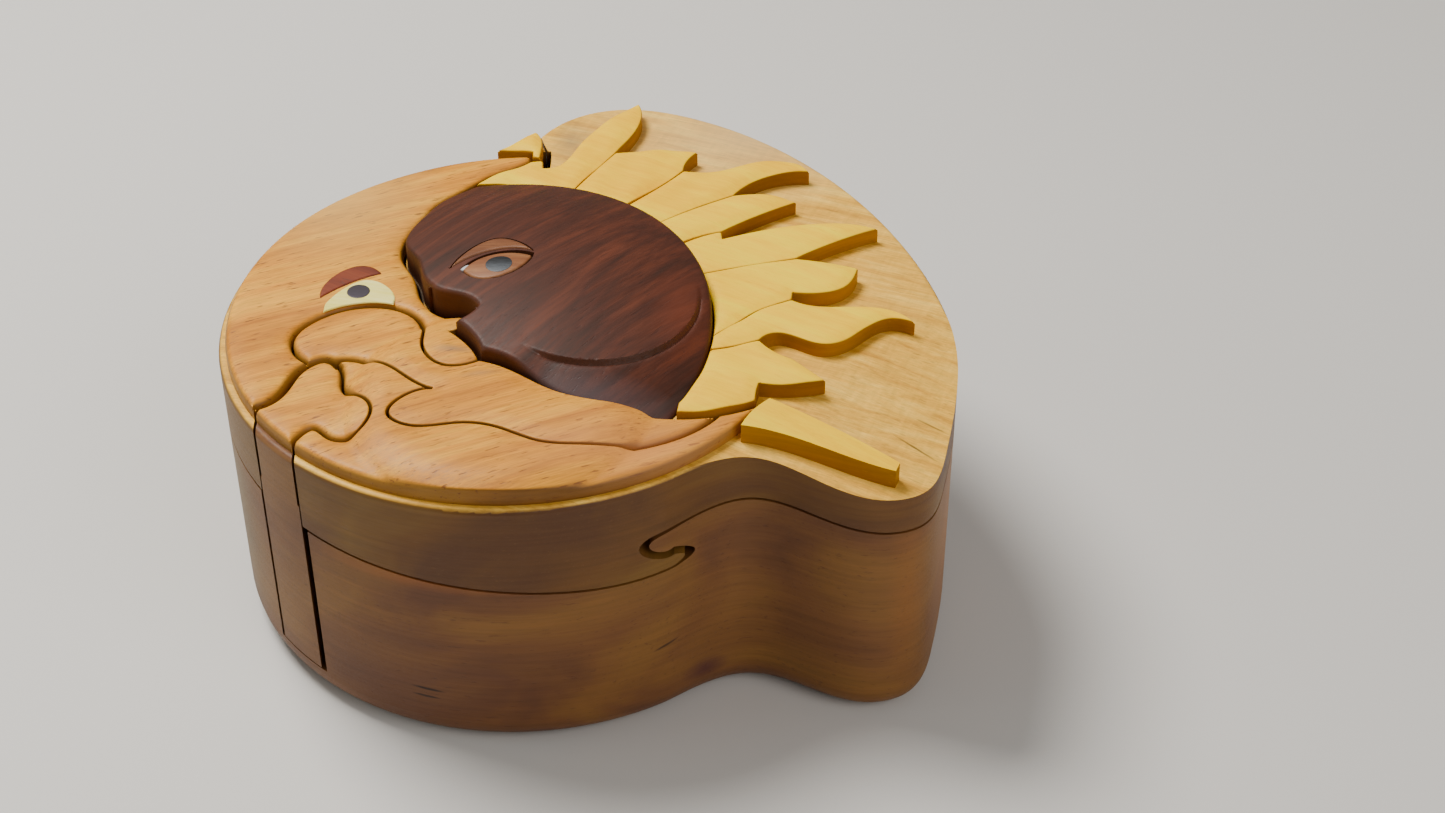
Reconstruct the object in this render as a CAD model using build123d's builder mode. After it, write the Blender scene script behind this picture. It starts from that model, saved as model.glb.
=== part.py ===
"""Sun-and-moon puzzle box: a saw-cut wooden box whose lid is a picture in inlaid woods.

The block is sawn three ways. One long cut, straight from front to back, parts the lid from the
base and hooks under a tongue, so that the lid only slides. Freehand cuts from the top free the
key, the cheek and the forehead, which lift out of the lid. All lengths are in millimetres, and
the origin is at the middle of the box's outline, on the table, with the picture's foot at -Y.
"""

import os
from math import cos, dist, hypot, radians, sin, sqrt

from build123d import *

os.makedirs("parts", exist_ok=True)

# Overall sizes
box_width = 131.8  # left to right; the whole picture is drawn to this width
box_height = 63.5  # from the table to the top of the sun's dome

# Heights and thicknesses
sun_rise = 9.5  # the dome's top above the lid's top
moon_thickness = 5.0
ray_thickness = 3.7
bottom_thickness = 6.0
felt_thickness = 1.0
inlay_depth = 2.2
inlay_proud = 0.3
sun_eye_depth = 3.2
cheek_depth = 6.0  # how far the cheek's plug goes down into the lid
key_joint = 10.0  # how far below the lid's top the key's column meets its head
corner_slope = 8.4  # degrees; the lid's top falls away to the front right corner
corner_slope_start = 49.3  # its start, measured from the middle towards that corner

# Walls and clearances
wall = 10.0
key_wall = 5.0  # wood left between the key's slot and the cavity
felt_gap = 0.4
kerf = 0.5  # width of a saw cut
wide_kerf = 1.7  # where the cut was widened by hand
head_kerf = 1.2  # round the left of the key's head
piece_gap = 0.3  # between the sun, its rays and the moon
key_play = 1.1  # to the right of the key's column
key_foot_gap = 0.3

# Rounded edges
base_round = 5.2
lid_round = 1.0
moon_round = 1.6

# The picture is drawn 131.8 wide and scaled to the box's width
drawn_width = 131.8
plan = box_width / drawn_width
lid_top = box_height - sun_rise
far = 200.0  # well outside the box

# The round of the moon, the box's wall that follows it, and the sun's round
moon_centre = (-12.9 * plan, -10.4 * plan)
moon_radius = 51.6 * plan
round_wall_radius = 53.0 * plan
sun_centre = (-23.0 * plan, -15.5 * plan)
sun_radius = 45.4 * plan
dome_centre = (-6.0 * plan, -6.0 * plan)
dome_radius = 105.0 * plan

# Where the round wall ends and the freehand wall begins, as angles on the moon's round
wall_start_angle = 104.0
wall_end_angle = -58.7
wall_blend = 0.5  # how firmly the freehand wall leaves the round


# Lines of the picture, seen from above

shoulder = [(-15.5, 47.5), (-11.5, 54.0), (-5.0, 60.6), (3.6, 63.4), (18.6, 59.8), (40.6, 42.8),
            (57.0, 17.0), (64.6, -7.0), (65.9, -18.0), (64.8, -31.0), (62.2, -44.0),
            (58.2, -53.2), (51.0, -56.0), (40.0, -52.6), (27.6, -48.6)]

moon_tip = [(-10.7, 38.9), (-13.4, 38.6)]
profile = [(-13.4, 38.6), (-15.5, 37.0), (-21.2, 33.0), (-25.3, 28.6), (-29.6, 24.0),
           (-31.9, 19.0), (-34.9, 9.0), (-34.6, 5.8), (-31.6, -0.7), (-30.3, -5.8), (-28.4, -9.4)]
nose_bridge = [(-28.4, -9.4), (-23.4, -13.2), (-20.4, -15.2), (-19.4, -16.8)]
nose_base = [(-19.4, -16.8), (-21.3, -18.8), (-23.5, -19.8)]
lips = [(-23.5, -19.8), (-21.4, -22.1), (-19.4, -24.9), (-17.9, -28.3)]
chin_line = [(-17.9, -28.3), (-12.1, -31.1), (-4.5, -36.6), (5.1, -39.6), (19.9, -41.1),
             (26.4, -39.6), (31.0, -37.5)]

cheek_line = [(-48.5, -25.5), (-51.4, -21.6), (-51.8, -19.0), (-49.1, -13.9), (-43.0, -10.0),
              (-34.8, -9.8), (-30.4, -12.8), (-28.6, -18.0), (-28.2, -24.0), (-25.7, -28.5),
              (-17.9, -28.3)]
jaw_line = [(-44.0, -25.6), (-40.4, -25.1), (-34.4, -28.5), (-25.3, -36.3)]
lower_lip = [(-25.3, -36.3), (-30.5, -38.8), (-32.2, -43.0), (-28.7, -46.2), (-19.9, -45.7),
             (-13.6, -46.8), (-6.4, -50.4), (1.0, -51.1), (10.0, -49.6), (17.5, -46.2),
             (23.2, -40.9)]

key_left = [(-55.3, -38.5), (-50.9, -32.6), (-49.2, -28.0), (-45.5, -25.1), (-42.4, -27.2),
            (-41.0, -33.4), (-36.8, -38.0), (-35.2, -42.0), (-38.6, -47.4), (-41.6, -46.8),
            (-43.6, -44.8), (-47.6, -47.6)]
key_left_side = -55.3
key_right_side = -47.6
key_column_end = -37.5  # how far in the key's column reaches below the lid
key_column_slant = 2.0
key_column_shoulder = 4.0  # length of the slant

# Seams between neighbouring rays, each from under the sun outwards
ray_seams = [
    [(-7.0, 21.0), (-5.4, 25.7), (-0.7, 34.9), (3.2, 41.4)],
    [(1.5, 17.6), (4.1, 20.7), (11.9, 29.1), (16.6, 34.9)],
    [(7.0, 11.6), (9.9, 14.6), (20.1, 22.5), (26.3, 26.4)],
    [(11.6, 5.6), (14.7, 8.5), (20.2, 12.4), (24.0, 13.9)],
    [(16.5, -1.4), (20.3, 0.0), (26.6, 1.9), (37.8, 4.8)],
    [(19.0, -22.0), (23.8, -18.0), (31.3, -11.0), (36.7, -8.0)],
    [(18.4, -24.4), (22.8, -23.1), (26.5, -22.0), (30.7, -20.5)],
]

# The free end of each ray, from the seam before it to the seam after it
ray_ends = [
    [[(-25.0, 25.0), (-25.0, 38.0)],
     [(-25.0, 38.0), (-10.9, 40.4)],
     [(-10.9, 40.4), (-10.7, 35.8)],
     [(-10.7, 35.8), (-8.4, 36.6), (-3.9, 44.7), (1.2, 53.6), (7.3, 59.9)],
     [(7.3, 59.9), (8.0, 55.0), (5.6, 46.6), (3.2, 41.4)]],
    [[(3.2, 41.4), (8.1, 42.4), (15.1, 42.6), (19.3, 41.5)],
     [(19.3, 41.5), (17.4, 38.6), (16.6, 34.9)]],
    [[(16.6, 34.9), (22.6, 34.8), (29.7, 37.6), (36.0, 38.4), (41.0, 34.4)],
     [(41.0, 34.4), (34.0, 33.3), (26.3, 26.4)]],
    [[(26.3, 26.4), (33.0, 26.6), (38.2, 24.1)],
     [(38.2, 24.1), (30.2, 18.9), (24.0, 13.9)]],
    [[(24.0, 13.9), (24.2, 11.7)],
     [(24.2, 11.7), (30.9, 14.3), (43.4, 16.6), (53.3, 14.6)],
     [(53.3, 14.6), (45.0, 10.2), (37.8, 4.8)]],
    [[(37.8, 4.8), (44.1, 3.4), (49.0, 1.6)],
     [(49.0, 1.6), (46.4, -4.0), (36.9, -6.0)],
     [(36.9, -6.0), (36.7, -8.0)]],
    [[(36.7, -8.0), (45.4, -10.2), (51.9, -10.5), (58.4, -15.1)],
     [(58.4, -15.1), (51.4, -15.0), (46.7, -19.7), (41.6, -21.5), (34.6, -18.2), (30.7, -20.5)]],
    [[(30.7, -20.5), (33.2, -23.7), (36.4, -25.9)],
     [(36.4, -25.9), (41.9, -32.1)],
     [(41.9, -32.1), (36.3, -33.2), (30.5, -32.9)],
     [(30.5, -32.9), (29.9, -36.0), (31.0, -44.0)],
     [(31.0, -44.0), (16.0, -44.0)]],
]

back_ray = [
    [(-20.0, 42.2), (-17.3, 44.9), (-12.9, 49.4)],
    [(-12.9, 49.4), (-11.6, 46.9), (-11.3, 43.5), (-11.5, 39.6)],
    [(-11.5, 39.6), (-13.0, 40.0)],
    [(-13.0, 40.0), (-13.1, 41.8)],
    [(-13.1, 41.8), (-15.8, 42.3), (-20.0, 42.2)],
]
front_ray = [
    [(27.3, -45.1), (29.4, -41.2), (32.3, -38.0)],
    [(32.3, -38.0), (43.0, -43.9), (53.8, -51.0)],
    [(53.8, -51.0), (53.0, -53.0)],
    [(53.0, -53.0), (41.0, -48.8), (33.0, -46.0), (27.3, -45.1)],
]

# The seam that parts the forehead from the plate, from outside the box to the moon's tip
back_seam = [(-14.6, 70.0), (-12.4, 52.0), (-10.7, 46.5)]
back_slot = [(-10.7, 46.5), (-10.5, 42.0), (-10.7, 38.9)]

moon_brow_line = [[(-48.3, -7.6), (-46.6, -0.6), (-42.5, 2.4), (-38.0, 0.0)],
                  [(-38.0, 0.0), (-42.5, -2.4), (-45.3, -4.6), (-48.3, -7.6)]]
moon_eye_line = [[(-47.2, -9.6), (-43.8, -4.0), (-40.4, -2.0), (-37.0, -3.6), (-34.9, -9.0)],
                 [(-34.9, -9.0), (-34.9, -12.0)], [(-34.9, -12.0), (-47.2, -12.0)],
                 [(-47.2, -12.0), (-47.2, -9.6)]]
moon_pupil_centre = (-41.6, -5.8)
moon_pupil_radius = 2.1

sun_eyelid_line = [[(-24.8, -5.4), (-21.6, 0.4), (-16.6, 3.4), (-12.4, 1.4), (-9.8, -1.8)],
                   [(-9.8, -1.8), (-14.0, -0.6), (-18.6, -1.4), (-24.8, -5.4)]]
sun_eye_line = [[(-22.8, -6.0), (-18.6, -2.2), (-14.0, -1.3), (-9.8, -2.4)],
                [(-9.8, -2.4), (-12.4, -7.6), (-17.0, -9.8), (-22.8, -6.0)]]
sun_pupil_centre = (-15.9, -5.7)
sun_pupil_radius = 2.4

# The long cut, seen from the front. Each point of the lid's side of it is given across and down
# from the lid's top, and then how far the base's side stands off from it, across and down.
long_cut = [
    [(-70.0, 12.0, 0, kerf), (-49.4, 14.0, 0, kerf), (-29.4, 16.0, 0, kerf),
     (-3.4, 18.5, 0, kerf), (10.6, 19.5, 0, kerf), (16.0, 19.4, 0, kerf)],
    [(16.0, 19.4, 0, kerf), (17.8, 18.1, wide_kerf, 0), (16.0, 16.9, 0, -wide_kerf)],
    [(16.0, 16.9, 0, -wide_kerf), (11.6, 15.4, wide_kerf, -kerf), (10.2, 13.2, wide_kerf, 0),
     (12.0, 11.2, wide_kerf, kerf)],
    [(12.0, 11.2, wide_kerf, kerf), (20.0, 10.1, 0, kerf), (28.0, 9.6, 0, kerf),
     (44.0, 10.4, 0, kerf), (70.0, 11.2, 0, kerf)],
]


def scaled(points):
    return [(x * plan, y * plan) for x, y in points]


def draw(strokes):
    """Each stroke is a smooth curve, or a straight line if it has two points."""
    for stroke in strokes:
        points = scaled(stroke)
        if len(points) == 2:
            Line(*points)
        else:
            Spline(*points)


def outline(strokes):
    """The area that strokes end to end go round."""
    with BuildSketch() as area:
        with BuildLine():
            draw(strokes)
        make_face()
    return area.sketch


def saw_cut(strokes, width):
    """The slit that a saw of this width leaves along the strokes."""
    with BuildSketch() as slit:
        with BuildLine():
            draw(strokes)
        trace(line_width=width)
    return slit.sketch


def on_round(centre, radius, angle):
    return (centre[0] + radius * cos(radians(angle)), centre[1] + radius * sin(radians(angle)))


def along_round(angle):
    """The way round the moon, anticlockwise, at this angle."""
    return (-sin(radians(angle)), cos(radians(angle)))


def inset(points, distance):
    """The inner points of a line, moved sideways into the box; crowded ones are dropped."""
    moved = []
    for (x0, y0), (x, y), (x1, y1) in zip(points, points[1:], points[2:]):
        size = hypot(x1 - x0, y1 - y0)
        point = (x + (y1 - y0) / size * distance, y - (x1 - x0) / size * distance)
        if not moved or dist(point, moved[-1]) > distance / 2:
            moved.append(point)
    return moved


def box_outline(depth=0.0):
    """The wall: round along the moon, then freehand past the rays to the front corner.

    With a depth, it is the line that runs this far inside the wall.
    """
    radius = round_wall_radius - depth
    start = on_round(moon_centre, radius, wall_start_angle)
    end = on_round(moon_centre, radius, wall_end_angle)
    middle = on_round(moon_centre, radius, (wall_start_angle + wall_end_angle) / 2 + 180)
    wall_line = [on_round(moon_centre, round_wall_radius, wall_start_angle), *scaled(shoulder),
                 on_round(moon_centre, round_wall_radius, wall_end_angle)]
    with BuildSketch() as area:
        with BuildLine():
            ThreePointArc(start, middle, end)
            Spline(end, *reversed(inset(wall_line, depth)), start,
                   tangents=[along_round(wall_end_angle), along_round(wall_start_angle)],
                   tangent_scalars=[wall_blend, wall_blend])
        make_face()
    return area.sketch


def past(*points):
    """Straight lines from one point to the next."""
    return [list(pair) for pair in zip(points, points[1:])]


inner_edge = [moon_tip, profile, nose_bridge, nose_base, lips, chin_line]


def open_sky():
    """Everything inside the moon's inner edge: the sun and its rays lie here."""
    return outline([*inner_edge, *past(chin_line[-1], (far, chin_line[-1][1]), (far, far),
                                       (moon_tip[0][0], far), moon_tip[0])])


def forehead_area():
    return outline([back_seam, back_slot, *inner_edge[:5], cheek_line[::-1],
                    *past(cheek_line[0], (-46.0, -31.0), (-53.6, -40.6), (-75.0, -62.0),
                          (-75.0, 75.0), (-14.6, 75.0), back_seam[0])])


def cheek_area():
    return outline([cheek_line, chin_line[:5], [chin_line[4], lower_lip[-1]], lower_lip[::-1],
                    jaw_line[::-1], *past(jaw_line[0], (-46.5, -28.0), cheek_line[0])])


def key_area():
    return outline([key_left, *past(key_left[-1], (key_right_side, -75.0),
                                    (key_left_side, -75.0), key_left[0])])


def key_column_area(gap=0.0, play=0.0):
    """The key below the lid, or with gaps its slot, open to the front so that it leaves with the lid."""
    left = key_left_side - gap
    right = key_right_side + play
    end = key_column_end + gap
    return outline(past((left, -75.0), (left, end - key_column_shoulder),
                        (left + key_column_slant, end), (right, end), (right, -75.0),
                        (left, -75.0)))


def above_long_cut(stand_off):
    """What lies above one side of the long cut, seen from the front: 0 the lid's, 1 the base's."""
    strokes = [[(x * plan + across * stand_off, lid_top - depth - down * stand_off)
                for x, depth, across, down in stroke] for stroke in long_cut]
    left, right = strokes[0][0], strokes[-1][-1]
    with BuildSketch(Plane.XZ) as side:
        with BuildLine():
            for stroke in strokes:
                Spline(*stroke)
            Polyline(right, (right[0], far), (left[0], far), left)
        make_face()
    return side.sketch


# Areas seen from above

box_area = box_outline()
sky_area = open_sky()
forehead_region = forehead_area()
cheek_region = cheek_area()
key_region = key_area()
key_column = key_column_area()
key_slot = key_column_area(kerf, key_play)
lid_side_area = above_long_cut(0)
base_side_area = above_long_cut(1)

with BuildSketch() as sun_area:
    with Locations(sun_centre):
        Circle(sun_radius)

with BuildSketch() as sun_clearance_area:
    with Locations(sun_centre):
        Circle(sun_radius + piece_gap)


def prism(area, low, high):
    """The solid over an area seen from above, between two heights."""
    with BuildPart() as solid:
        with BuildSketch(Plane.XY.offset(low)):
            add(area)
        extrude(amount=high - low)
    return solid.part


def saw(strokes, width, low=0.0, high=far):
    """What a saw cut takes out between two heights."""
    return prism(saw_cut(strokes, width), low, high)


# Solids that shape several pieces

forehead_prism = prism(forehead_region, 0, far)
cheek_prism = prism(cheek_region, lid_top - cheek_depth, far)
key_prism = prism(key_region, 0, far)
sky_prism = prism(sky_area, 0, far)
cheek_floor = lid_top - cheek_depth - kerf
cheek_pocket = prism(cheek_region, cheek_floor, far)

key_left_cut = past((key_left_side, -75.0), key_left[0])
key_right_cut = past(key_left[-1], (key_right_side, -75.0))
key_saws = [
    saw([key_left, *key_right_cut], kerf),
    saw(key_left_cut, kerf),
    saw([key_left[:5]], head_kerf),
]
forehead_saws = [
    saw([cheek_line], kerf),
    saw([moon_tip], kerf),
    saw([profile, nose_bridge], kerf),
    saw([nose_base, lips], kerf),
    saw([back_seam], kerf),
    saw([back_slot], wide_kerf),
]
cheek_saws = [
    saw([cheek_line], kerf, cheek_floor),
    saw([chin_line], kerf, cheek_floor),
    saw([jaw_line], kerf, cheek_floor),
    saw([lower_lip], kerf, cheek_floor),
]

with BuildPart() as above_lid_cut:
    extrude(lid_side_area, amount=far / 2, both=True)

with BuildPart() as above_base_cut:
    extrude(base_side_area, amount=far / 2, both=True)

# The lid's top falls away to the front right corner from this plane's edge
corner_x = corner_slope_start * plan * sqrt(0.5)
corner_tilt = sin(radians(corner_slope)) * sqrt(0.5)
corner_drop = Plane(
    origin=(corner_x, -corner_x, lid_top),
    x_dir=(sqrt(0.5), sqrt(0.5), 0),
    z_dir=(corner_tilt, -corner_tilt, cos(radians(corner_slope))),
)
with BuildPart() as above_corner:
    with BuildSketch(corner_drop):
        Rectangle(far, far, align=(Align.CENTER, Align.MAX))
    extrude(amount=box_height)

with BuildPart() as upper_block:
    with BuildSketch():
        add(box_area)
    extrude(amount=lid_top)
    fillet(upper_block.edges().group_by(Axis.Z)[-1], lid_round)
    add(above_corner.part, mode=Mode.SUBTRACT)
    add(above_lid_cut.part, mode=Mode.INTERSECT)

with BuildPart() as moon_layer:
    with BuildSketch(Plane.XY.offset(lid_top)):
        with Locations(moon_centre):
            Circle(moon_radius)
        add(sky_area, mode=Mode.SUBTRACT)
        with Locations(scaled(moon_tip)[-1]):
            Rectangle(far, far, align=Align.MIN, mode=Mode.SUBTRACT)
    extrude(amount=moon_thickness)
    outer_rim = moon_layer.edges().group_by(Axis.Z)[-1].sort_by(Edge.length)[-1]
    fillet(outer_rim, moon_round)

with BuildPart() as dome:
    with Locations((*dome_centre, box_height - dome_radius)):
        Sphere(dome_radius)


# The base: a hollow block on a bottom board, lined with felt

with BuildPart() as bottom_board:
    with BuildSketch():
        add(box_area)
    extrude(amount=bottom_thickness)
    fillet(bottom_board.edges().group_by(Axis.Z)[0], base_round)

cavity_area = box_outline(wall)
key_guard = offset(key_slot, amount=key_wall)
felt_area = box_outline(wall + felt_gap)
felt_key_guard = offset(key_slot, amount=key_wall + felt_gap)

with BuildPart() as base_block:
    with BuildSketch(Plane.XY.offset(bottom_thickness)):
        add(box_area)
    extrude(amount=lid_top - bottom_thickness)
    add(above_base_cut.part, mode=Mode.SUBTRACT)
    add(prism(key_slot, 0, far), mode=Mode.SUBTRACT)
    with BuildSketch(Plane.XY.offset(bottom_thickness)):
        add(cavity_area)
        add(key_guard, mode=Mode.SUBTRACT)
    extrude(amount=far, mode=Mode.SUBTRACT)

with BuildPart() as felt_lining:
    with BuildSketch(Plane.XY.offset(bottom_thickness)):
        add(felt_area)
        add(felt_key_guard, mode=Mode.SUBTRACT)
    extrude(amount=felt_thickness)


# The lid: the part of the upper block that no loose piece takes

with BuildPart() as lid_block:
    add(upper_block.part)
    add(forehead_prism, mode=Mode.SUBTRACT)
    add(key_prism, mode=Mode.SUBTRACT)
    add(cheek_pocket, mode=Mode.SUBTRACT)
    for cut in key_saws + forehead_saws + cheek_saws:
        add(cut, mode=Mode.SUBTRACT)


# The loose blocks

with BuildPart() as key_block:
    add(upper_block.part)
    add(key_prism, mode=Mode.INTERSECT)
    for cut in key_saws:
        add(cut, mode=Mode.SUBTRACT)
    with BuildSketch(Plane.XY.offset(bottom_thickness + key_foot_gap)):
        add(box_area)
        add(key_column, mode=Mode.INTERSECT)
    extrude(amount=lid_top - key_joint - bottom_thickness - key_foot_gap)

with BuildPart() as cheek_block:
    add(upper_block.part)
    add(cheek_prism, mode=Mode.INTERSECT)
    add(key_prism, mode=Mode.SUBTRACT)
    for cut in cheek_saws + key_saws:
        add(cut, mode=Mode.SUBTRACT)

with BuildPart() as forehead_block:
    add(upper_block.part)
    add(forehead_prism, mode=Mode.INTERSECT)
    add(key_prism, mode=Mode.SUBTRACT)
    for cut in forehead_saws + key_saws:
        add(cut, mode=Mode.SUBTRACT)


# The moon's inlaid brow and eye, let into the layer over the forehead

inlay_floor = lid_top + moon_thickness - inlay_depth
brow_area = outline(moon_brow_line)
eye_area = outline(moon_eye_line)
pupil_centre = scaled([moon_pupil_centre])[0]
brow_pocket = prism(brow_area, inlay_floor, far)
eye_pocket = prism(eye_area, inlay_floor, far)

with BuildPart() as moon_brow:
    with BuildSketch(Plane.XY.offset(inlay_floor)):
        add(brow_area)
        add(eye_area, mode=Mode.SUBTRACT)
    extrude(amount=inlay_depth + inlay_proud)

with BuildPart() as moon_eye_white:
    with BuildSketch(Plane.XY.offset(inlay_floor)):
        add(eye_area)
        add(forehead_region, mode=Mode.INTERSECT)
        with Locations(pupil_centre):
            Circle(moon_pupil_radius, mode=Mode.SUBTRACT)
    extrude(amount=inlay_depth + inlay_proud)
    for cut in forehead_saws:
        add(cut, mode=Mode.SUBTRACT)

with BuildPart() as moon_pupil:
    with BuildSketch(Plane.XY.offset(inlay_floor)):
        with Locations(pupil_centre):
            Circle(moon_pupil_radius)
    extrude(amount=inlay_depth + inlay_proud)


# The moon's layer, sawn along the same lines

with BuildPart() as moon_mouth:
    add(moon_layer.part)
    add(key_prism, mode=Mode.INTERSECT)
    for cut in key_saws:
        add(cut, mode=Mode.SUBTRACT)

with BuildPart() as moon_cheek:
    add(moon_layer.part)
    add(cheek_prism, mode=Mode.INTERSECT)
    add(key_prism, mode=Mode.SUBTRACT)
    for cut in cheek_saws + key_saws:
        add(cut, mode=Mode.SUBTRACT)

with BuildPart() as moon_forehead:
    add(moon_layer.part)
    add(forehead_prism, mode=Mode.INTERSECT)
    add(key_prism, mode=Mode.SUBTRACT)
    for cut in forehead_saws + key_saws:
        add(cut, mode=Mode.SUBTRACT)
    add(brow_pocket, mode=Mode.SUBTRACT)
    add(eye_pocket, mode=Mode.SUBTRACT)

with BuildPart() as moon_chin:
    add(moon_layer.part)
    for taken in (forehead_prism, key_prism, cheek_prism):
        add(taken, mode=Mode.SUBTRACT)
    for cut in key_saws + forehead_saws + cheek_saws:
        add(cut, mode=Mode.SUBTRACT)


# The sun's disk, domed, with its eye let in

edge_cuts = [saw([stroke], 2 * piece_gap + kerf) for stroke in inner_edge]
sun_round = prism(sun_area.sketch, lid_top, far)
eye_floor = box_height - sun_eye_depth
lid_pocket = outline(sun_eyelid_line)
ball_pocket = outline(sun_eye_line)
sun_pupil_place = scaled([sun_pupil_centre])[0]

with BuildPart() as sun_disk:
    add(sun_round)
    add(sky_prism, mode=Mode.INTERSECT)
    for cut in edge_cuts:
        add(cut, mode=Mode.SUBTRACT)
    add(dome.part, mode=Mode.INTERSECT)
    add(prism(lid_pocket, eye_floor, far), mode=Mode.SUBTRACT)
    add(prism(ball_pocket, eye_floor, far), mode=Mode.SUBTRACT)

with BuildPart() as sun_eyelid:
    with BuildSketch(Plane.XY.offset(eye_floor)):
        add(lid_pocket)
    extrude(amount=box_height - eye_floor)

with BuildPart() as sun_eye:
    with BuildSketch(Plane.XY.offset(eye_floor)):
        add(ball_pocket)
        add(lid_pocket, mode=Mode.SUBTRACT)
        with Locations(sun_pupil_place):
            Circle(sun_pupil_radius, mode=Mode.SUBTRACT)
    extrude(amount=box_height - eye_floor - inlay_proud)

with BuildPart() as sun_pupil:
    with BuildSketch(Plane.XY.offset(eye_floor)):
        with Locations(sun_pupil_place):
            Circle(sun_pupil_radius)
        add(lid_pocket, mode=Mode.SUBTRACT)
    extrude(amount=box_height - eye_floor - inlay_proud / 2)


# The rays

sun_clearance = prism(sun_clearance_area.sketch, 0, far)


def ray_strokes(number):
    """The outline of a ray between two seams, closed under the sun."""
    strokes = list(ray_ends[number])
    if number > 0:
        strokes.insert(0, ray_seams[number - 1])
    if number < len(ray_seams):
        strokes.append(ray_seams[number][::-1])
    return [*strokes, [strokes[-1][-1], strokes[0][0]]]


rays = []
for number in range(len(ray_ends)):
    ray_area = outline(ray_strokes(number))
    with BuildPart() as ray:
        with BuildSketch(Plane.XY.offset(lid_top)):
            add(ray_area)
        extrude(amount=ray_thickness)
        add(sky_prism, mode=Mode.INTERSECT)
        for cut in edge_cuts:
            add(cut, mode=Mode.SUBTRACT)
        add(sun_clearance, mode=Mode.SUBTRACT)
    rays.append(ray)

back_ray_area = outline(back_ray)
with BuildPart() as ray_back:
    with BuildSketch(Plane.XY.offset(lid_top)):
        add(back_ray_area)
    extrude(amount=ray_thickness)

front_ray_area = outline(front_ray)
with BuildPart() as front_ray_prism:
    with BuildSketch():
        add(front_ray_area)
    extrude(amount=far)

with BuildPart() as ray_front:
    with BuildSketch(corner_drop):
        Rectangle(far, far)
    extrude(amount=ray_thickness)
    add(front_ray_prism.part, mode=Mode.INTERSECT)


pieces = {
    "base_block": base_block, "bottom_board": bottom_board, "felt_lining": felt_lining,
    "lid_block": lid_block, "moon_chin": moon_chin, "sun_disk": sun_disk,
    "sun_eyelid": sun_eyelid, "sun_eye": sun_eye, "sun_pupil": sun_pupil,
    "ray_front": ray_front, "key_block": key_block, "moon_mouth": moon_mouth,
    "cheek_block": cheek_block, "moon_cheek": moon_cheek, "forehead_block": forehead_block,
    "moon_forehead": moon_forehead, "ray_back": ray_back, "moon_brow": moon_brow,
    "moon_eye_white": moon_eye_white, "moon_pupil": moon_pupil,
}
for number, ray in enumerate(rays, start=1):
    pieces["ray_" + str(number)] = ray

for name, piece in pieces.items():
    # Only the largest solid is kept: the crumbs that a saw leaves between two cuts fall away
    with BuildPart() as whole:
        add(piece.part.solids().sort_by(SortBy.VOLUME)[-1])
    whole.part.label = name
    export_step(whole.part, "parts/" + name + ".step")
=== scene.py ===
"""The looks of the sun-and-moon puzzle box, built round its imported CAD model.

The saw-cut blocks keep their CAD shape. Everything that the maker carved or sanded, which is the
moon's layer, the sun and its eye, the rays and the inlays, is built here as a crowned slab on the
CAD piece's own outline. All lengths are in metres.
"""

import math

import bpy
import numpy as np
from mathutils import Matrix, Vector, geometry


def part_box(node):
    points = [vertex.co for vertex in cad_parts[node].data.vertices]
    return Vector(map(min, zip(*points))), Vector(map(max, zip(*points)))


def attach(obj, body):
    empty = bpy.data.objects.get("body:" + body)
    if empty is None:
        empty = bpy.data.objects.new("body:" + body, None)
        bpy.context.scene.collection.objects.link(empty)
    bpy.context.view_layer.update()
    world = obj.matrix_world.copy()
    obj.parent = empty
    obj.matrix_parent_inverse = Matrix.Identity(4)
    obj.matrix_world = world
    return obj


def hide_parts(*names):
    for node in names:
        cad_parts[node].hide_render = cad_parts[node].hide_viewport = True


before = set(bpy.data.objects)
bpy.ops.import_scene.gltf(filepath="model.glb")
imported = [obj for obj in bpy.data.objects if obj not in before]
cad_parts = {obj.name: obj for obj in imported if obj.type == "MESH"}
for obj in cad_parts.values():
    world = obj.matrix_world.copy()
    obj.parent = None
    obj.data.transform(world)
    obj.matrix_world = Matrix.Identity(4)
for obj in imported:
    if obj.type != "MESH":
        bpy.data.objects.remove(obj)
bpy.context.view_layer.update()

MM = 0.001

# Heights that the pieces share, read from the frame
LID_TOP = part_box("moon_chin")[0].z
MOON_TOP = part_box("moon_chin")[1].z
RAY_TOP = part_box("ray_3")[1].z
DOME_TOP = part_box("sun_disk")[1].z

# Where a slab's mesh is fine: its rings, as shares of the edge's radius, and the rows down its walls
RING_SHARES = (0.08, 0.25, 0.5, 0.8, 1.25)
RING_SLACK = 0.9
WALL_SHARES = (0.33, 0.66, 1.0)
# The same for a step in its top: two rows of points along it, with no other points near
STEP_SPACING = 0.3 * MM
STEP_ROWS = (-0.07 * MM, 0.07 * MM)
STEP_CLEAR = 0.25 * MM
# Height of a row of near-equilateral triangles, for a side of 1
ROW_HEIGHT = 0.87

# Blender's noise stays mostly between these values
NOISE = (0.3, 0.7)


# Outlines

def node_points(node):
    """A CAD node's vertices as an array, in the row frame."""
    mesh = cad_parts[node].data
    points = np.empty(len(mesh.vertices) * 3)
    mesh.vertices.foreach_get("co", points)
    return points.reshape(-1, 3)


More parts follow.
